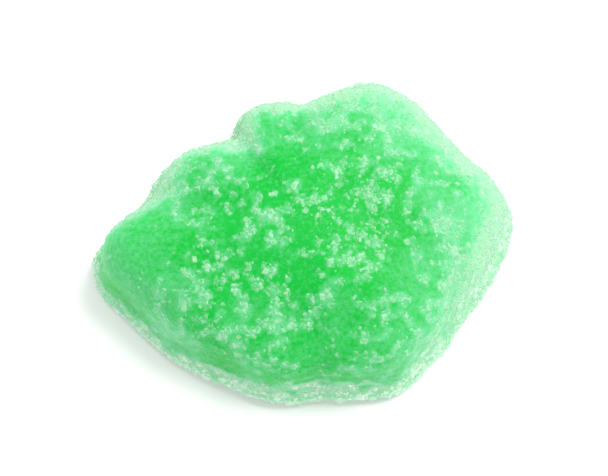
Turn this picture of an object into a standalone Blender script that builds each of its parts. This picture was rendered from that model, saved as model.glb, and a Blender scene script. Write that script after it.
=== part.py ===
"""Spearmint leaf candy: one sugared jelly leaf lying on its flat moulded back.

Metres, +Z up. The origin is the middle of the footprint, on the face the candy rests on.
+X runs from the leaf's tip to its broad end, +Y runs across the leaf.
"""
import math
import random

import bmesh
import bpy
from mathutils import Euler, Vector

MM = 0.001

HALF_LENGTH = 18.8 * MM     # the leaf's tip and its broad end lie this far from the middle
# Outline of the widest girth, seen from above: (direction in degrees from +X, reach as a share
# of half the length). Lobes and notches alternate round the leaf, and a smooth curve joins them.
OUTLINE = (
    (0, 1.000), (9, 0.984), (21, 0.902), (34, 0.874), (47, 0.887), (60, 0.860), (72, 0.764),
    (84, 0.690), (95, 0.704), (109, 0.708), (120, 0.618), (131, 0.665), (143, 0.754), (152, 0.780),
    (161, 0.800), (170, 0.888), (178, 1.000), (188, 0.996), (197, 0.922), (208, 0.866), (220, 0.814),
    (236, 0.774), (250, 0.780), (264, 0.764), (272, 0.754), (286, 0.806), (298, 0.843), (312, 0.836),
    (330, 0.848), (346, 0.926),
)

THICKNESS = 11.0 * MM       # base to the top of the face
FACE_DROP = 1.6 * MM        # how much lower the face lies at the shoulder than in the middle
SHOULDER_RADIUS = 4.0 * MM  # round between the face and the wall
WALL_LEAN = 1.2 * MM        # how far the wall leans in from the rim to the shoulder
WALL_FLARE = 0.7            # under 1, the wall spreads most just above the rim
RIM_RADIUS = 1.1 * MM       # round of the rim, down to the flat back
SHOULDER_START = math.radians(14)  # the shoulder's round begins where the face slopes so much
SHOULDER_END = math.radians(82)
RIM_START = math.radians(62)       # the rim's round, measured from straight up
RIM_END = math.radians(180)

# Rings of the body from the top down: over the face, the shoulder, the wall, the rim and the back.
FACE_RINGS = 9
SHOULDER_RINGS = 5
WALL_RINGS = 4
RIM_RINGS = 5
BACK_RINGS = 2
SEGMENTS = 80

# Creases run in from the notches: (direction in degrees, length mm, depth mm, half width mm).
CREASES = (
    (120, 5.0, 0.9, 1.3),
    (88, 3.0, 0.35, 1.5),
    (160, 4.5, 0.7, 1.2),
    (206, 6.0, 0.9, 1.1),
    (268, 3.0, 0.4, 1.3),
)
# Slow swell of the face: (waves along X and along Y in one length, height mm, phase).
SWELLS = ((1.6, 0.8, 0.16, 0.6), (2.7, 2.2, 0.11, 2.1), (0.9, 3.4, 0.09, 4.0))

CRYSTAL_COUNT = 260
CRYSTAL_SIZES = (0.95 * MM, 0.6 * MM)  # the largest sugar crystals come first
CRYSTAL_DRAWS = 12             # places drawn for each, the loneliest is kept
CRYSTAL_STRETCH = 0.25         # sides differ by up to this share
CRYSTAL_SINK = 0.1             # share of its size that a crystal's centre lies under the skin
CRYSTAL_SEED = 11
BARE_BELOW = -0.2              # faces that point further down than this hold no crystals
BASE_CLEARANCE = 0.15 * MM     # no crystal comes lower than this
WELD_DISTANCE = 0.001 * MM     # joins the points that the union leaves side by side
SHARP_EDGE = math.radians(40)  # crystals keep their edges, the jelly is shaded smooth

JELLY_GREEN = (0.10, 0.68, 0.20, 1.0)
JELLY_ROUGHNESS = 0.45
NAME = "spearmint_leaf_candy"


def clear_scene():
    for thing in list(bpy.data.objects):
        bpy.data.objects.remove(thing, do_unlink=True)


def new_collection(name):
    collection = bpy.data.collections.new(name)
    bpy.context.scene.collection.children.link(collection)
    return collection


def smooth_step(value):
    value = min(max(value, 0.0), 1.0)
    return value * value * (3.0 - 2.0 * value)


def outline_reach(angle):
    """Reach of the rim in one direction: a cubic curve through the outline's points."""
    count = len(OUTLINE)
    degrees = math.degrees(angle) % 360.0
    index = max(i for i in range(count) if OUTLINE[i][0] <= degrees)
    points = []
    for offset in (-1, 0, 1, 2):
        turn, place = divmod(index + offset, count)
        points.append((OUTLINE[place][0] + 360.0 * turn, OUTLINE[place][1]))
    (a0, r0), (a1, r1), (a2, r2), (a3, r3) = points
    span = a2 - a1
    slope_in = (r2 - r0) / (a2 - a0) * span
    slope_out = (r3 - r1) / (a3 - a1) * span
    t = (degrees - a1) / span
    reach = (
        (2 * t**3 - 3 * t**2 + 1) * r1
        + (t**3 - 2 * t**2 + t) * slope_in
        + (3 * t**2 - 2 * t**3) * r2
        + (t**3 - t**2) * slope_out
    )
    return reach * HALF_LENGTH


def arc(radius, inset, height, start, end, count):
    """Profile points on a round, as (share of the way out, inset from the rim, height)."""
    points = []
    for step in range(count):
        turn = start + (end - start) * step / (count - 1)
        points.append((1.0, inset - radius * math.sin(turn), height + radius * math.cos(turn)))
    return points


def leaf_profile():
    """The candy's section from the middle of the face down to the middle of the back."""
    shoulder_inset = WALL_LEAN + SHOULDER_RADIUS
    shoulder_height = THICKNESS - FACE_DROP - SHOULDER_RADIUS * math.cos(SHOULDER_START)
    shoulder = arc(
        SHOULDER_RADIUS, shoulder_inset, shoulder_height, SHOULDER_START, SHOULDER_END, SHOULDER_RINGS
    )
    rim = arc(RIM_RADIUS, RIM_RADIUS, RIM_RADIUS, RIM_START, RIM_END, RIM_RINGS)

    face_inset = shoulder[0][1]
    face = []
    for ring in range(FACE_RINGS):
        share = ring / FACE_RINGS
        face.append((share, face_inset, THICKNESS - FACE_DROP * share**2))

    wall = []
    for ring in range(1, WALL_RINGS + 1):
        down = ring / (WALL_RINGS + 1)
        lean = rim[0][1] + (shoulder[-1][1] - rim[0][1]) * (1.0 - down) ** WALL_FLARE
        height = shoulder[-1][2] + (rim[0][2] - shoulder[-1][2]) * down
        wall.append((1.0, lean, height))

    back = [(1.0 - ring / BACK_RINGS, rim[-1][1], 0.0) for ring in range(1, BACK_RINGS + 1)]
    return face + shoulder + wall + rim + back


def crease_depth(x, y):
    """Depth of the creases that run from the notches into the face."""
    depth = 0.0
    for degrees, length, deep, half_width in CREASES:
        direction = math.radians(degrees)
        along = x * math.cos(direction) + y * math.sin(direction)
        across = y * math.cos(direction) - x * math.sin(direction)
        start = outline_reach(direction) - length * MM
        fade_in = smooth_step((along - start) / (length * MM))
        depth += deep * MM * fade_in * math.exp(-((across / (half_width * MM)) ** 2))
    return depth


def swell_height(x, y):
    """Soft unevenness of the set jelly."""
    height = 0.0
    for waves_x, waves_y, rise, phase in SWELLS:
        height += rise * MM * math.sin(math.tau * (waves_x * x + waves_y * y) / (2 * HALF_LENGTH) + phase)
    return height


def leaf_point(angle, section):
    share, inset, height = section
    reach = share * (outline_reach(angle) - inset)
    x = reach * math.cos(angle)
    y = reach * math.sin(angle)
    lift = smooth_step(height / THICKNESS)
    return Vector((x, y, height + lift * (swell_height(x, y) - crease_depth(x, y))))


def jelly_mesh():
    """A ball whose rings and segments are moved on to the leaf's section and outline."""
    profile = leaf_profile()
    rings = len(profile) - 1
    mesh = bmesh.new()
    bmesh.ops.create_uvsphere(mesh, u_segments=SEGMENTS, v_segments=rings, radius=1.0)
    for vert in mesh.verts:
        from_top = math.acos(min(max(vert.co.z, -1.0), 1.0))
        angle = math.atan2(vert.co.y, vert.co.x)
        vert.co = leaf_point(angle, profile[round(from_top / math.pi * rings)])
    bmesh.ops.recalc_face_normals(mesh, faces=mesh.faces)
    mesh.verts.index_update()
    mesh.faces.sort(key=face_rank)
    return mesh


def face_rank(face):
    """A number of its own for each face, so that the faces always come in the same order."""
    return sum(vert.index**2 for vert in face.verts)


def random_place(faces, areas, picker):
    """A point on the surface and its normal, with large faces drawn more often."""
    face = picker.choices(faces, weights=areas)[0]
    corners = sorted(face.verts, key=lambda vert: vert.index)
    shares = [picker.random() for _ in corners]
    point = sum((vert.co * share for vert, share in zip(corners, shares)), Vector()) / sum(shares)
    return point, face.normal.copy()


def crystal_places(body):
    """Places spread evenly over the face and walls, none on the back."""
    picker = random.Random(CRYSTAL_SEED)
    faces = [face for face in body.faces if face.normal.z > BARE_BELOW]
    areas = [face.calc_area() for face in faces]
    places = [random_place(faces, areas, picker)]
    while len(places) < CRYSTAL_COUNT:
        draws = [random_place(faces, areas, picker) for _ in range(CRYSTAL_DRAWS)]
        room = [min((point - other).length for other, _ in places) for point, _ in draws]
        places.append(draws[room.index(max(room))])
    return places


def add_crystal(name, size, point, normal, picker, collection):
    """One blocky sugar crystal, half sunk in the jelly."""
    mesh = bmesh.new()
    bmesh.ops.create_cube(mesh, size=size)
    stretch = [1.0 + picker.uniform(-CRYSTAL_STRETCH, CRYSTAL_STRETCH) for _ in range(3)]
    turn = Euler([picker.uniform(0.0, math.tau) for _ in range(3)]).to_matrix()
    bmesh.ops.scale(mesh, vec=stretch, verts=mesh.verts)
    bmesh.ops.rotate(mesh, matrix=turn, verts=mesh.verts)
    bmesh.ops.translate(mesh, vec=point - normal * size * CRYSTAL_SINK, verts=mesh.verts)
    lowest = min(vert.co.z for vert in mesh.verts)
    if lowest < BASE_CLEARANCE:
        bmesh.ops.translate(mesh, vec=(0.0, 0.0, BASE_CLEARANCE - lowest), verts=mesh.verts)
    data = bpy.data.meshes.new(name)
    mesh.to_mesh(data)
    mesh.free()
    crystal = bpy.data.objects.new(name, data)
    crystal.hide_render = True
    crystal.display_type = "WIRE"
    collection.objects.link(crystal)


def add_crystals(body, collection):
    picker = random.Random(CRYSTAL_SEED + 1)
    largest, smallest = CRYSTAL_SIZES
    for number, (point, normal) in enumerate(crystal_places(body)):
        size = largest + (smallest - largest) * number / (CRYSTAL_COUNT - 1)
        add_crystal(f"crystal_{number}", size, point, normal, picker, collection)


def jelly_material():
    material = bpy.data.materials.new("sugared_green_jelly")
    material.use_nodes = True
    shader = material.node_tree.nodes["Principled BSDF"]
    shader.inputs["Base Color"].default_value = JELLY_GREEN
    shader.inputs["Roughness"].default_value = JELLY_ROUGHNESS
    shader.inputs["Metallic"].default_value = 0.0
    return material


def fuse(candy, crystals):
    """Join the crystals to the jelly in one union, apply it and remove the loose crystals."""
    union = candy.modifiers.new("fuse_crystals", "BOOLEAN")
    union.operation = "UNION"
    union.operand_type = "COLLECTION"
    union.collection = crystals
    union.solver = "EXACT"
    evaluated = candy.evaluated_get(bpy.context.evaluated_depsgraph_get())
    fused = bpy.data.meshes.new_from_object(evaluated)
    candy.modifiers.remove(union)
    candy.data = fused
    for crystal in list(crystals.objects):
        bpy.data.objects.remove(crystal, do_unlink=True)
    bpy.data.collections.remove(crystals)


def shell_of(start):
    """All the vertices joined to one by edges."""
    found = {start}
    waiting = [start]
    while waiting:
        vert = waiting.pop()
        for edge in vert.link_edges:
            other = edge.other_vert(vert)
            if other not in found:
                found.add(other)
                waiting.append(other)
    return found


def keep_largest_shell(mesh):
    """Drop loose scraps and sealed hollows, which are shells of their own."""
    shells = []
    seen = set()
    for vert in mesh.verts:
        if vert not in seen:
            shell = shell_of(vert)
            seen |= shell
            shells.append(shell)
    shells.sort(key=len)
    for shell in shells[:-1]:
        bmesh.ops.delete(mesh, geom=list(shell), context="VERTS")


def tidy(candy):
    """Weld and triangulate the fused surface, and centre its footprint on the origin."""
    mesh = bmesh.new()
    mesh.from_mesh(candy.data)
    bmesh.ops.remove_doubles(mesh, verts=mesh.verts, dist=WELD_DISTANCE)
    bmesh.ops.dissolve_degenerate(mesh, edges=mesh.edges, dist=WELD_DISTANCE)
    keep_largest_shell(mesh)
    bmesh.ops.triangulate(mesh, faces=mesh.faces)
    low = [min(vert.co[axis] for vert in mesh.verts) for axis in range(3)]
    high = [max(vert.co[axis] for vert in mesh.verts) for axis in range(3)]
    middle = Vector(((low[0] + high[0]) / 2, (low[1] + high[1]) / 2, low[2]))
    bmesh.ops.translate(mesh, vec=-middle, verts=mesh.verts)
    mesh.to_mesh(candy.data)
    mesh.free()


def main():
    clear_scene()
    parts = new_collection(NAME)
    crystals = new_collection("sugar_crystals")

    body = jelly_mesh()
    add_crystals(body, crystals)
    data = bpy.data.meshes.new(NAME)
    body.to_mesh(data)
    body.free()

    candy = bpy.data.objects.new(NAME, data)
    parts.objects.link(candy)
    fuse(candy, crystals)
    tidy(candy)
    candy.data.materials.clear()
    candy.data.materials.append(jelly_material())
    candy.data.shade_smooth()
    candy.data.set_sharp_from_angle(angle=SHARP_EDGE)


main()
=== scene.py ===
import math

import bmesh
import bpy
import numpy as np
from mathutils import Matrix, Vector, noise


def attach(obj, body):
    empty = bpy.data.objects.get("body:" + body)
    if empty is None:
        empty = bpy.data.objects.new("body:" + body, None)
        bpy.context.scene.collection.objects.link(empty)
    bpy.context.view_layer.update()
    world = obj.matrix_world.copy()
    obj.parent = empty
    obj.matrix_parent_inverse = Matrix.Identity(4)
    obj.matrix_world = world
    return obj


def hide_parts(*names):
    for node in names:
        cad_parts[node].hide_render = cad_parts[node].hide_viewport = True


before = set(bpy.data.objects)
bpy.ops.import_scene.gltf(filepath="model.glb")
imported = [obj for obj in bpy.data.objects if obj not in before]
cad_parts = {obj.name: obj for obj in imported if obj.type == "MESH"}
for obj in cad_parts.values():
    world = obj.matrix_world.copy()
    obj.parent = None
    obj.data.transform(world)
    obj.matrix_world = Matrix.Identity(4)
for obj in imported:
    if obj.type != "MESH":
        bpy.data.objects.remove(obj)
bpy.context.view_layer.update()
print("frame loaded")

mm = 0.001

leaf = {
    "halfLength": 18.8 * mm,  # middle to the tip, and to the broad end
    # girth seen from above: degrees from +X, reach as a share of half the length
    "outline": (
        (0, 1.000), (9, 0.984), (21, 0.902), (34, 0.874), (47, 0.887), (60, 0.860), (72, 0.764),
        (84, 0.690), (95, 0.704), (109, 0.708), (120, 0.618), (131, 0.665), (143, 0.754), (152, 0.780),
        (161, 0.800), (170, 0.888), (178, 1.000), (188, 0.996), (197, 0.922), (208, 0.866),
        (220, 0.814), (236, 0.774), (250, 0.780), (264, 0.764), (272, 0.754), (286, 0.806),
        (298, 0.843), (312, 0.836), (330, 0.848), (346, 0.926),
    ),
    "thickness": 11.0 * mm,
    "faceDrop": 1.6 * mm,  # the face is this much lower at the shoulder
    "shoulderRadius": 4.0 * mm,
    "shoulderTurn": (14, 82),  # degrees from straight up
    "wallLean": 1.2 * mm,
    "wallFlare": 0.7,  # under 1 the wall spreads most just above the rim
    "rimRadius": 1.1 * mm,
    "rimTurn": (62, 180),
    # creases that run in from the notches: degrees, length, depth and half width in mm
    "creases": ((120, 5.0, 0.9, 1.3), (88, 3.0, 0.35, 1.5), (160, 4.5, 0.7, 1.2),
                (206, 6.0, 0.9, 1.1), (268, 3.0, 0.4, 1.3)),
    # slow swell of the face: waves in X and in Y, height in mm, phase
    "swells": ((1.6, 0.8, 0.16, 0.6), (2.7, 2.2, 0.11, 2.1), (0.9, 3.4, 0.09, 4.0)),
    "rings": {"face": 48, "shoulder": 26, "wall": 22, "rim": 16, "back": 16},
    "segments": 400,
    "lift": 0.22 * mm,  # the jelly rests on the sugar under it
    "lumps": ((4.0, 0.16), (1.7, 0.07)),  # lumps in the skin: size and height in mm
    "backFade": 2.0,  # how quickly the lumps return above the flat back
}


def smoothStep(value):
    value = min(max(value, 0.0), 1.0)
    return value * value * (3.0 - 2.0 * value)


def toLinear(hexColor):  # sRGB hex to linear RGBA
    channels = [int(hexColor[i:i + 2], 16) / 255 for i in (1, 3, 5)]
    return [c / 12.92 if c <= 0.04045 else ((c + 0.055) / 1.055) ** 2.4 for c in channels] + [1.0]


def outlineReach(angle):  # a smooth closed curve through the outline's points
    knots = leaf["outline"]
    degrees = math.degrees(angle) % 360.0
    index = max(i for i in range(len(knots)) if knots[i][0] <= degrees)
    near = []
    for offset in (-1, 0, 1, 2):
        turn, place = divmod(index + offset, len(knots))
        near.append((knots[place][0] + 360.0 * turn, knots[place][1]))
    (a0, r0), (a1, r1), (a2, r2), (a3, r3) = near
    span = a2 - a1
    slopeIn = (r2 - r0) / (a2 - a0) * span
    slopeOut = (r3 - r1) / (a3 - a1) * span
    t = (degrees - a1) / span
    reach = (2 * t**3 - 3 * t**2 + 1) * r1 + (t**3 - 2 * t**2 + t) * slopeIn
    reach += (3 * t**2 - 2 * t**3) * r2 + (t**3 - t**2) * slopeOut
    return reach * leaf["halfLength"]


def roundOff(radius, inset, height, turns, count):  # share of the way out, inset, height
    first, last = (math.radians(turn) for turn in turns)
    steps = [first + (last - first) * i / (count - 1) for i in range(count)]
    return [(1.0, inset - radius * math.sin(s), height + radius * math.cos(s)) for s in steps]


def leafSection():  # the rings from the middle of the face down to the middle of the back
    rings = leaf["rings"]
    radius = leaf["shoulderRadius"]
    top = leaf["thickness"] - leaf["faceDrop"] - radius * math.cos(math.radians(leaf["shoulderTurn"][0]))
    shoulder = roundOff(radius, leaf["wallLean"] + radius, top, leaf["shoulderTurn"], rings["shoulder"])
    rim = roundOff(leaf["rimRadius"], leaf["rimRadius"], leaf["rimRadius"], leaf["rimTurn"], rings["rim"])
    face = []
    for ring in range(rings["face"]):
        share = ring / rings["face"]
        face.append((share, shoulder[0][1], leaf["thickness"] - leaf["faceDrop"] * share**2))
    wall = []
    for ring in range(1, rings["wall"] + 1):
        down = ring / (rings["wall"] + 1)
        lean = rim[0][1] + (shoulder[-1][1] - rim[0][1]) * (1.0 - down) ** leaf["wallFlare"]
        wall.append((1.0, lean, shoulder[-1][2] + (rim[0][2] - shoulder[-1][2]) * down))
    back = [(1.0 - ring / rings["back"], rim[-1][1], 0.0) for ring in range(1, rings["back"] + 1)]
    return face + shoulder + wall + rim + back


def faceRelief(x, y):  # creases and swells of the face, in metres
    height = 0.0
    for degrees, length, deep, halfWidth in leaf["creases"]:
        turn = math.radians(degrees)
        along = x * math.cos(turn) + y * math.sin(turn)
        across = y * math.cos(turn) - x * math.sin(turn)
        fadeIn = smoothStep((along - outlineReach(turn)) / (length * mm) + 1.0)
        height -= deep * mm * fadeIn * math.exp(-((across / (halfWidth * mm)) ** 2))
    for wavesX, wavesY, rise, phase in leaf["swells"]:
        waves = (wavesX * x + wavesY * y) / (2 * leaf["halfLength"])
        height += rise * mm * math.sin(math.tau * waves + phase)
    return height


def makeJelly():
    section = leafSection()
    rings = len(section) - 1
    segments = leaf["segments"]
    reaches = [outlineReach(math.tau * i / segments) for i in range(segments)]
    bm = bmesh.new()
    bmesh.ops.create_uvsphere(bm, u_segments=segments, v_segments=rings, radius=1.0)
    for vert in bm.verts:
        ring = round(math.acos(min(max(vert.co.z, -1.0), 1.0)) / math.pi * rings)
        angle = math.atan2(vert.co.y, vert.co.x)
        share, inset, height = section[ring]
        reach = share * (reaches[round(angle / math.tau * segments) % segments] - inset)
        x, y = reach * math.cos(angle), reach * math.sin(angle)
        relief = smoothStep(height / leaf["thickness"]) * faceRelief(x, y)
        vert.co = (x, y, height + relief + leaf["lift"])
    bmesh.ops.recalc_face_normals(bm, faces=bm.faces)
    bm.verts.index_update()
    bm.faces.sort(key=lambda face: sum(vert.index**2 for vert in face.verts))  # the same order on every run
    bm.normal_update()
    for vert in bm.verts:
        swell = 0.0
        for size, rise in leaf["lumps"]:
            swell += rise * mm * noise.noise(vert.co / (size * mm))
        vert.co += vert.normal * swell * min(1.0, max(0.0, vert.normal.z + 1.0) * leaf["backFade"])
    mesh = bpy.data.meshes.new("mintJelly")
    bm.to_mesh(mesh)
    bm.free()
    mesh.shade_smooth()
    piece = bpy.data.objects.new("mintJelly", mesh)
    bpy.context.collection.objects.link(piece)
    return piece


fields = {
    "patch": 3.4 * mm,  # size of the fields where sugar gathers
    "clot": 0.95 * mm,  # size of the small heaps in them
}


def spotSum(point, spots):  # soft round spots: x, y and radius in mm, change in the middle
    total = 0.0
    for x, y, radius, change in spots:
        away = ((point.x / mm - x) ** 2 + (point.y / mm - y) ** 2) / radius**2
        total += change * math.exp(-away)
    return total


crust = {
    "height": (2.6 * mm, 3.8 * mm),  # the rim is always crusted up to this, least and most
    # how far the crust climbs the wall, round the leaf: degrees from +X, share
    "climb": ((0, 0.9), (90, 0.9), (125, 0.95), (160, 0.85), (172, 0.5), (186, 0.1), (290, 0.1),
              (312, 0.3), (338, 0.75)),
    # where the rim is crusted higher: x, y and radius in mm, extra height in mm
    "ledges": ((-8.0, -10.0, 2.0, 1.6), (0.5, -13.5, 5.0, 2.4), (10.0, -10.5, 4.0, 1.2)),
    "ragged": 0.35,  # how much the clots break it up
    "patchy": 0.5,  # how much the fields do
    # the rim's crust ends at this share of its height
    "rim": {"end": 1.2, "sharp": 1.5, "ragged": 1.5, "patchy": 0.6},
    # the wall starts where the normal's Z is under this, and sooner where the crust climbs
    "wall": {"start": 0.75, "climbing": 0.23, "fade": 0.4, "ragged": 0.8, "share": 0.8, "patchy": 0.7},
}


def crustClimb(point):  # how far the crust climbs the wall there, 0 to 1
    degrees, shares = zip(*crust["climb"])
    return float(np.interp(math.degrees(math.atan2(point.y, point.x)), degrees, shares, period=360))


def edgeShare(point, normal):  # 0 on the face, 1 on the crusted rim
    ragged = crust["ragged"] * noise.noise(point / fields["clot"])
    patch = crust["patchy"] * noise.noise(point / fields["patch"])
    climb = crustClimb(point)
    low, high = crust["height"]
    top = low + (high - low) * climb + spotSum(point, crust["ledges"]) * mm
    spec = crust["rim"]
    below = spec["end"] - (point.z - leaf["lift"]) / top
    rim = smoothStep(spec["sharp"] * (below + spec["ragged"] * ragged + spec["patchy"] * patch))
    spec = crust["wall"]
    steep = (spec["start"] + spec["climbing"] * climb - normal.z) / spec["fade"]
    wall = smoothStep(steep + spec["ragged"] * ragged) * spec["share"] * climb
    return min(1.0, wall * (1.0 + spec["patchy"] * patch) + rim)


cover = {
    "base": 0.23,  # share of the face under sugar
    "patchy": 0.35,
    "clotted": 1.1,
    "least": 0.01,
    "apart": Vector((7.0, 3.0, 1.0)),  # keeps its clots from following the crust's
    # where the face is barer or richer: x, y and radius in mm, change of cover
    "zones": (
        (-15.0, 0.0, 4.6, -1.2), (-0.5, 6.2, 3.4, -0.6), (13.8, 0.3, 2.4, -0.3), (8.6, -6.0, 3.2, -0.4),
        (8.8, -2.8, 2.0, -0.4), (-6.0, -3.2, 1.6, -0.2), (-0.2, -4.6, 1.5, -0.5), (0.8, -12.0, 2.4, -0.4),
        (-1.2, 2.9, 1.5, 0.4), (3.0, 9.9, 2.6, 0.4), (-10.0, 5.0, 2.6, 0.15), (-3.7, 0.6, 1.3, 0.4),
        (-3.1, -9.4, 1.9, 0.15), (1.6, -6.6, 1.6, 0.1), (-8.6, 1.3, 1.6, 0.3), (-9.6, -4.0, 1.4, 0.3),
        (5.5, -1.0, 2.0, 0.3), (12.4, -4.4, 2.2, 0.3), (0.0, -1.5, 1.5, -0.35), (-6.8, -8.2, 1.8, -0.4),
        (-3.6, 6.0, 2.0, -0.9), (12.2, -1.3, 1.8, 0.35),
    ),
}


def sugarCover(point):  # how thickly the sugar lies on the face there, 0 to 1
    patch = noise.noise(point / fields["patch"])
    clot = noise.noise(point / fields["clot"] + cover["apart"])
    share = cover["base"] + cover["patchy"] * patch + cover["clotted"] * clot
    return min(max(share + spotSum(point, cover["zones"]), cover["least"]), 1.0)


film = {
    "base": -0.04,
    "halfWidth": 0.78,  # of the leaf, as a share of half its length
    "outward": (0.22, 0.36),  # gain towards the outline, all round, and more on the side of the lamp as painted light
    "lampSide": (0.45, 0.4),  # which is towards +X and +Y
    "steep": 0.2,  # share of that gain on an upright wall
    "patchy": 0.18,
    "underSugar": 0.36,
    "underCrust": 0.85,
    "apart": Vector((1.0, 9.0, 4.0)),  # keeps its fields from following the sugar's
    # where the skin is milkier or clearer: x, y and radius in mm, change of film
    "veils": (
        (-15.5, 0.0, 4.0, 0.1), (0.0, -1.5, 3.5, -0.05), (6.0, -0.5, 3.0, -0.2), (8.4, 3.1, 2.5, -0.04),
        (6.0, 10.0, 3.0, 0.06), (12.0, -1.0, 2.5, 0.11), (3.0, -10.5, 2.2, -0.08), (-3.0, 7.0, 3.0, 0.12),
        (-10.0, 4.0, 3.0, 0.02), (-6.0, -8.5, 3.0, 0.03), (-12.5, -7.5, 2.5, 0.21),
    ),
}


def filmAndLampLight(point, normal):  # half dissolved sugar that clouds the skin, with painted light that makes it milkier on the lamp side, 0 to 1
    x, y = point.x / leaf["halfLength"], point.y / (film["halfWidth"] * leaf["halfLength"])
    outward = min(1.0, x * x + y * y)
    lampX, lampY = film["lampSide"]
    allRound, paintedLampLight = film["outward"]
    # painted light: the film is made milkier on the side towards the lamp
    gain = allRound + paintedLampLight * smoothStep(0.5 + lampX * x + lampY * y)
    upright = film["steep"] + (1.0 - film["steep"]) * max(normal.z, 0.0)
    patch = noise.noise(point / fields["patch"] + film["apart"])
    share = film["base"] + outward * gain * upright + film["patchy"] * patch
    share += film["underSugar"] * sugarCover(point) + spotSum(point, film["veils"])
    return min(max(share + film["underCrust"] * edgeShare(point, normal), 0.0), 1.0)


sugar = {
    "seed": 5,
    # name: how many on the face and on the edge, smallest and largest in mm, chamfer and pane share
    "kinds": {
        "coarseSugar": {"face": 70, "edge": 220, "sizes": (0.46, 0.70), "chamfer": 0.14, "pane": 0.06},
        "sandingSugar": {"face": 800, "edge": 1300, "sizes": (0.30, 0.50), "chamfer": 0.14, "pane": 0.06},
        "crustSugar": {"face": 500, "edge": 2400, "sizes": (0.22, 0.40), "chamfer": 0.18, "pane": 0.0},
        "fineSugar": {"face": 2000, "edge": 4500, "sizes": (0.16, 0.28), "chamfer": 0.0, "pane": 0.0},
        "sugarDust": {"face": 1500, "edge": 1500, "sizes": (0.09, 0.15), "chamfer": 0.0, "pane": 0.0},
    },
    "smaller": 1.5,  # over 1 there are more small grains than large ones of a kind
    "stretch": (0.75, 1.25),
    "sunk": 0.16,  # how far under the skin a crystal's middle lies, as a share of its size
    "melted": 0.4,  # share of its height that a crystal lost where the damp jelly dissolved it
    "edgeSunk": 0.4,  # in the crust it sinks and melts only this much of that
    "edgeMelted": 0.5,
    "faceWhite": 0.45,  # the whitest crystal on the face
    "edgeWhiteAndShadeLift": (0.5, 0.42),  # the clearest one in the crust, and how much whiter it is painted where no lamp reaches, as painted light that lifts the shade
    "clearer": (1.5, 2),  # over 1 there are more clear crystals than white ones, on face and crust
    "paintedEdgeGlint": 0.65,  # how much whiter a large crystal's edges are painted than the panes between them, a painted glint
    "steepest": (0.2, 0.5),  # the normal's Z where grains begin on the face, and how far on all are there
    "backBelow": -0.7,  # the normal's Z on the back
    "backShare": 0.3,  # which holds less sugar than the walls
    "shadeBare": 0.55,  # how much less there is where the crust doesn't climb
}


def grainShape(chamfer, pane):  # a cube with cut edges, and a smaller pane inside each side, whose edges carry a painted glint
    bm = bmesh.new()
    bmesh.ops.create_cube(bm, size=1.0)
    sides = bm.faces[:]
    if chamfer:
        cut = bmesh.ops.bevel(bm, geom=bm.edges[:], offset=chamfer, affect="EDGES",
                              segments=1, profile=0.5, material=-1)
        sides = [face for face in bm.faces if face not in cut["faces"]]
    outer = len(bm.verts)
    if pane:
        bmesh.ops.inset_individual(bm, faces=sides, thickness=pane)
    bmesh.ops.triangulate(bm, faces=bm.faces)
    bm.verts.index_update()
    corners = np.array([vert.co[:] for vert in bm.verts])
    faces = []
    for face in bm.faces:
        around = [vert.index for vert in face.verts]
        first = around.index(min(around))
        faces.append(around[first:] + around[:first])
    faces = np.array(sorted(faces))  # the same order on every run
    bm.free()
    ring = (np.arange(len(corners)) < outer) - 0.5 if pane else np.zeros(len(corners))
    return corners, faces, ring  # ring: over 0 on an edge, under 0 on a pane, for the painted glint on the edges


def readGround(jelly):  # the jelly's faces, and the chance that a grain lands on each
    mesh = jelly.data
    corners, normals, edges, shades, onFace, onEdge = [], [], [], [], [], []
    start, fade = sugar["steepest"]
    for face in mesh.polygons:
        points = [mesh.vertices[i].co for i in sorted(face.vertices)]
        points += points[:4 - len(points)]  # at the two poles the faces are triangles
        middle = sum(points, Vector()) / 4
        edge = edgeShare(middle, face.normal)
        # the side the lamp doesn't reach, where the crust climbs least
        shade = 1.0 - crustClimb(middle)
        flat = smoothStep((face.normal.z - start) / fade)
        loose = 1.0 - sugar["shadeBare"] * shade
        if face.normal.z < sugar["backBelow"]:
            loose = sugar["backShare"]
        corners.append([point[:] for point in points])
        normals.append(face.normal[:])
        edges.append(edge)
        shades.append(shade)
        onFace.append(face.area * sugarCover(middle) * (1.0 - edge) * flat)
        onEdge.append(face.area * edge * loose)
    onFace, onEdge = np.array(onFace), np.array(onEdge)
    return {
        "corners": np.array(corners), "normal": np.array(normals),
        "edge": np.array(edges), "shade": np.array(shades),
        "faceChance": onFace / onFace.sum(), "edgeChance": onEdge / onEdge.sum(),
    }


def randomTurns(picker, count):  # even random rotations from unit quaternions
    q = picker.normal(size=(count, 4))
    q /= np.linalg.norm(q, axis=1)[:, None]
    w, x, y, z = q.T
    rows = [[1 - 2 * (y * y + z * z), 2 * (x * y - z * w), 2 * (x * z + y * w)],
            [2 * (x * y + z * w), 1 - 2 * (x * x + z * z), 2 * (y * z - x * w)],
            [2 * (x * z - y * w), 2 * (y * z + x * w), 1 - 2 * (x * x + y * y)]]
    return np.array(rows).transpose(2, 0, 1)


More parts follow.
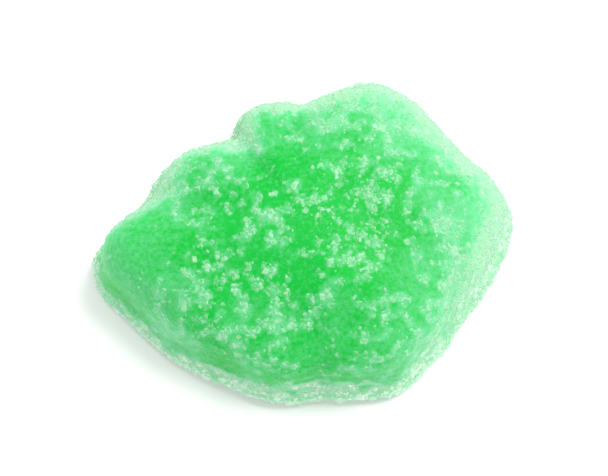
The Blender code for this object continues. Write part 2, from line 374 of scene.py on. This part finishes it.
def placeGrains(corners, sizeRange, ground, chosen, picker):  # turned at random, sunk and melted in
    count = len(chosen)
    shares = picker.dirichlet((1.0, 1.0, 1.0, 1.0), size=count)
    places = np.einsum("nk,nkd->nd", shares, ground["corners"][chosen])
    small, large = sizeRange
    sizes = (small + (large - small) * picker.random(count) ** sugar["smaller"]) * mm
    stretch = picker.uniform(*sugar["stretch"], size=(count, 1, 3))
    edge = ground["edge"][chosen]
    sunk = sugar["sunk"] * sizes * (1.0 - (1.0 - sugar["edgeSunk"]) * edge)
    places -= ground["normal"][chosen] * sunk[:, None]
    grains = corners[None] * stretch * sizes[:, None, None]
    grains = np.einsum("nij,nkj->nki", randomTurns(picker, count), grains)
    up = ground["normal"][chosen][:, None]
    melted = sugar["melted"] * (1.0 - (1.0 - sugar["edgeMelted"]) * edge)
    grains += places[:, None] - melted[:, None, None] * up * (grains * up).sum(axis=2)[:, :, None]
    low = grains[:, :, 2].min(axis=1)
    grains[:, :, 2] += np.maximum(0.0, -low)[:, None]  # nothing sinks into the table
    return grains


def grainWhitenessAndLight(edge, shade, ring, picker):  # 0 clear to 1 white, at each corner of each grain; crust on the side no lamp reaches is painted whiter, and large crystals' edges get a painted glint
    clearerFace, clearerEdge = sugar["clearer"]
    clearest, shadeLift = sugar["edgeWhiteAndShadeLift"]
    # painted light: crust grains on the side the lamp doesn't reach are made whiter to lift their shade
    least = clearest + shadeLift * shade
    onFace = sugar["faceWhite"] * picker.random(len(edge)) ** clearerFace
    onEdge = least + (1.0 - least) * picker.random(len(edge)) ** clearerEdge
    whiteAndLight = onFace * (1.0 - edge) + onEdge * edge
    # painted glint: the edges of large face crystals are made whiter and the panes clearer
    whiteAndLight = whiteAndLight[:, None] + sugar["paintedEdgeGlint"] * ring * (1.0 - edge[:, None])
    return np.clip(whiteAndLight, 0, 1).ravel().astype(np.float32)


def sowSugar(name, kind, ground, picker):
    corners, faces, ring = grainShape(kind["chamfer"], kind["pane"])
    onFace = picker.choice(len(ground["edge"]), size=kind["face"], p=ground["faceChance"])
    onEdge = picker.choice(len(ground["edge"]), size=kind["edge"], p=ground["edgeChance"])
    chosen = np.concatenate([onFace, onEdge])
    grains = placeGrains(corners, kind["sizes"], ground, chosen, picker)
    allFaces = faces[None] + (np.arange(len(chosen)) * len(corners))[:, None, None]
    mesh = bpy.data.meshes.new(name)
    mesh.from_pydata(grains.reshape(-1, 3).tolist(), [], allFaces.reshape(-1, 3).tolist())
    whiteAndLight = grainWhitenessAndLight(ground["edge"][chosen], ground["shade"][chosen], ring, picker)
    mesh.attributes.new("whitenessAndLight", "FLOAT", "POINT").data.foreach_set("value", whiteAndLight)
    piece = bpy.data.objects.new(name, mesh)
    piece.visible_shadow = False  # clear crystals pass on the light of the lamps
    piece.visible_diffuse = False  # and that of the room
    bpy.context.collection.objects.link(piece)
    return piece


def addNode(tree, kind, settings=None, links=None):  # settings go to properties or sockets
    node = tree.nodes.new(kind)
    for key, value in (settings or {}).items():
        if isinstance(key, str) and hasattr(node, key):
            setattr(node, key, value)
        else:
            node.inputs[key].default_value = value
    for key, source in (links or {}).items():
        tree.links.new(source, node.inputs[key])
    return node


def newMaterial(name):
    material = bpy.data.materials.new(name)
    material.use_nodes = True
    material.node_tree.nodes.clear()
    return material, material.node_tree


jellyLook = {
    "deep": "#00B238",  # clear jelly between the grains
    "bright": "#0DB540",
    "milky": "#6CC990",  # thin film of half dissolved sugar
    "frosted": "#92CCA2",  # thick film
    "travel": (1.0, 4.0, 1.8),  # mm that red, green and blue light goes inside
    "blotch": 3.0 * mm,  # size of the slow change from deep to bright
    "grit": 0.42 * mm,  # size of the sugar dust in the film
    "gritGain": 0.8,  # how much that dust breaks up the film
    "bump": 0.06 * mm,
    "bumpStrength": 0.4,
    "veil": (0.38, 1.24),  # film and grit together, from clear jelly to the thickest film
    "thin": (0.0, 0.55),  # the part of that from green to milky
    "thick": (0.5, 1.0),  # and the part from milky to frosted
    "rough": (0.48, 0.65),  # damp jelly, dry film
    "ior": 1.42,
    "specular": 0.18,
    "sheen": 0.15,
    "sheenRough": 0.4,
}


def jellyMaterial():  # cast pectin jelly: light goes in and comes out green, and a dry film dulls it; that film also holds painted light, milkier on the lamp side
    look = jellyLook
    material, tree = newMaterial("castMintJelly")
    place = addNode(tree, "ShaderNodeTexCoord").outputs["Object"]
    frostAndLampLight = addNode(tree, "ShaderNodeAttribute", {"attribute_name": "frostAndLampLight"}).outputs["Fac"]
    blotch = addNode(tree, "ShaderNodeTexNoise", {
        "Scale": 1 / look["blotch"], "Detail": 3.0, "Roughness": 0.6,
    }, {"Vector": place}).outputs["Fac"]
    grit = addNode(tree, "ShaderNodeTexNoise", {
        "Scale": 1 / look["grit"], "Detail": 4.0, "Roughness": 0.7,
    }, {"Vector": place}).outputs["Fac"]
    cloud = addNode(tree, "ShaderNodeMath", {"operation": "MULTIPLY_ADD", 1: look["gritGain"]},
                    {0: grit, 2: frostAndLampLight}).outputs[0]
    veil = addNode(tree, "ShaderNodeMapRange", {1: look["veil"][0], 2: look["veil"][1]},
                   {0: cloud}).outputs[0]
    thin = addNode(tree, "ShaderNodeMapRange", {1: look["thin"][0], 2: look["thin"][1]}, {0: veil})
    thick = addNode(tree, "ShaderNodeMapRange", {1: look["thick"][0], 2: look["thick"][1]}, {0: veil})
    rough = addNode(tree, "ShaderNodeMapRange", {3: look["rough"][0], 4: look["rough"][1]}, {0: veil})
    green = addNode(tree, "ShaderNodeMix", {"data_type": "RGBA", 6: toLinear(look["deep"]),
                                            7: toLinear(look["bright"])}, {0: blotch})
    clouded = addNode(tree, "ShaderNodeMix", {"data_type": "RGBA", 7: toLinear(look["milky"])},
                      {0: thin.outputs[0], 6: green.outputs[2]})
    color = addNode(tree, "ShaderNodeMix", {"data_type": "RGBA", 7: toLinear(look["frosted"])},
                    {0: thick.outputs[0], 6: clouded.outputs[2]})
    bump = addNode(tree, "ShaderNodeBump", {"Strength": look["bumpStrength"], "Distance": look["bump"]},
                   {"Height": grit})
    shader = addNode(tree, "ShaderNodeBsdfPrincipled", {
        "Subsurface Weight": 1.0, "Subsurface Radius": look["travel"], "Subsurface Scale": mm,
        "IOR": look["ior"], "Specular IOR Level": look["specular"], "Metallic": 0.0,
        "Sheen Weight": look["sheen"], "Sheen Roughness": look["sheenRough"],
    }, {"Base Color": color.outputs[2], "Roughness": rough.outputs[0], "Normal": bump.outputs[0]})
    addNode(tree, "ShaderNodeOutputMaterial", {}, {"Surface": shader.outputs[0]})
    return material


sugarLook = {
    # whiteness, with its painted glints and painted light in the shade, and the colour there
    "ramp": (
        (0.0, "#59BB78"),  # a clear crystal, with the jelly's green in it
        (0.45, "#A4D1AD"),  # the whitest on the face
        (0.75, "#9AD8AC"),  # in the crust: its pale green, with a painted glow of the light that comes out of the jelly
        (1.0, "#EAF6EC"),
    ),
    "solid": 0.5,  # how much of what is under it a crystal hides
    "rough": 0.22,
    "ior": 1.54,
    "specular": 0.35,
}


def sugarMaterial():  # sanding sugar: hard clear crystals, dulled where they took up moisture, with painted glints and painted light in the shade
    material, tree = newMaterial("sandingSugar")
    whitenessAndLight = addNode(tree, "ShaderNodeAttribute", {"attribute_name": "whitenessAndLight"}).outputs["Fac"]
    color = addNode(tree, "ShaderNodeValToRGB", {}, {"Fac": whitenessAndLight})
    stops = color.color_ramp.elements
    first, *between, last = sugarLook["ramp"]
    stops[0].color = toLinear(first[1])
    stops[1].color = toLinear(last[1])
    for place, hexColor in between:
        stops.new(place).color = toLinear(hexColor)
    shader = addNode(tree, "ShaderNodeBsdfPrincipled", {
        "IOR": sugarLook["ior"], "Roughness": sugarLook["rough"], "Metallic": 0.0,
        "Specular IOR Level": sugarLook["specular"], "Alpha": sugarLook["solid"],
    }, {"Base Color": color.outputs["Color"]})
    addNode(tree, "ShaderNodeOutputMaterial", {}, {"Surface": shader.outputs[0]})
    return material


jelly = makeJelly()
print("jelly made:", len(jelly.data.vertices), "points")

ground = readGround(jelly)
# the film for the jelly's colour, with painted light milkier on the lamp side
frostAndLampLight = jelly.data.attributes.new("frostAndLampLight", "FLOAT", "POINT")
frostAndLampLight.data.foreach_set("value", [
    filmAndLampLight(vert.co, normal.vector) for vert, normal in zip(jelly.data.vertices, jelly.data.vertex_normals)
])
jelly.data.materials.append(jellyMaterial())
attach(jelly, "root")
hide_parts("spearmint_leaf_candy")

picker = np.random.RandomState(sugar["seed"])
sugarFinish = sugarMaterial()
for name, kind in sugar["kinds"].items():
    grains = sowSugar(name, kind, ground, picker)
    grains.data.materials.append(sugarFinish)
    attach(grains, "root")
    print(name, "sown:", kind["face"] + kind["edge"], "grains,", len(grains.data.polygons), "triangles")

studio = {
    "floor": {"size": 0.6, "color": "#FDFDFD", "rough": 0.9, "specular": 0.1},  # size in metres
    "camera": {"azimuth": -5.5, "elevation": 75.0, "lens": 150.0, "distance": 0.225, "clip": 0.01},
    "target": (0.0, 0.0, 4.0 * mm),
    "room": 0.80,
    "softbox": {"at": (0.14, 0.075, 0.28), "size": 0.16, "watts": 0.80},
    "fill": {"at": (-0.08, -0.22, 0.10), "size": 0.16, "watts": 0.03},
    "sparkle": {"at": (-0.08, 0.10, 0.25), "size": 0.02, "watts": 0.08},
}


def makeFloor():
    spec = studio["floor"]
    bm = bmesh.new()
    bmesh.ops.create_grid(bm, x_segments=1, y_segments=1, size=spec["size"] / 2)
    mesh = bpy.data.meshes.new("table")
    bm.to_mesh(mesh)
    bm.free()
    floor = bpy.data.objects.new("table", mesh)
    bpy.context.collection.objects.link(floor)
    material, tree = newMaterial("whiteCard")  # matt card: even white, next to no gloss
    shader = addNode(tree, "ShaderNodeBsdfPrincipled", {
        "Base Color": toLinear(spec["color"]), "Roughness": spec["rough"],
        "Specular IOR Level": spec["specular"],
    })
    addNode(tree, "ShaderNodeOutputMaterial", {}, {"Surface": shader.outputs[0]})
    mesh.materials.append(material)


def addLight(name):
    spec = studio[name]
    light = bpy.data.lights.new(name, "AREA")
    light.shape = "DISK"
    light.size = spec["size"]
    light.energy = spec["watts"]
    lamp = bpy.data.objects.new(name, light)
    lamp.location = spec["at"]
    lamp.rotation_euler = (Vector(studio["target"]) - lamp.location).to_track_quat("-Z", "Y").to_euler()
    bpy.context.collection.objects.link(lamp)


def placeCamera():
    spec = studio["camera"]
    turn, rise = math.radians(spec["azimuth"]), math.radians(spec["elevation"])
    outward = Vector((math.sin(turn) * math.cos(rise), -math.cos(turn) * math.cos(rise), math.sin(rise)))
    camera = bpy.data.objects.new("camera", bpy.data.cameras.new("camera"))
    camera.data.lens = spec["lens"]
    camera.data.clip_start = spec["clip"]
    camera.location = Vector(studio["target"]) + outward * spec["distance"]
    camera.rotation_euler = (-outward).to_track_quat("-Z", "Y").to_euler()
    bpy.context.collection.objects.link(camera)
    bpy.context.scene.camera = camera


def lightRoom():
    world = bpy.data.worlds.new("brightRoom")
    bpy.context.scene.world = world
    world.use_nodes = True
    background = world.node_tree.nodes["Background"]
    background.inputs["Color"].default_value = (1.0, 1.0, 1.0, 1.0)
    background.inputs["Strength"].default_value = studio["room"]


makeFloor()
for name in ("softbox", "fill", "sparkle"):
    addLight(name)
placeCamera()
lightRoom()
bpy.context.scene.view_settings.view_transform = "Standard"
print("studio set")
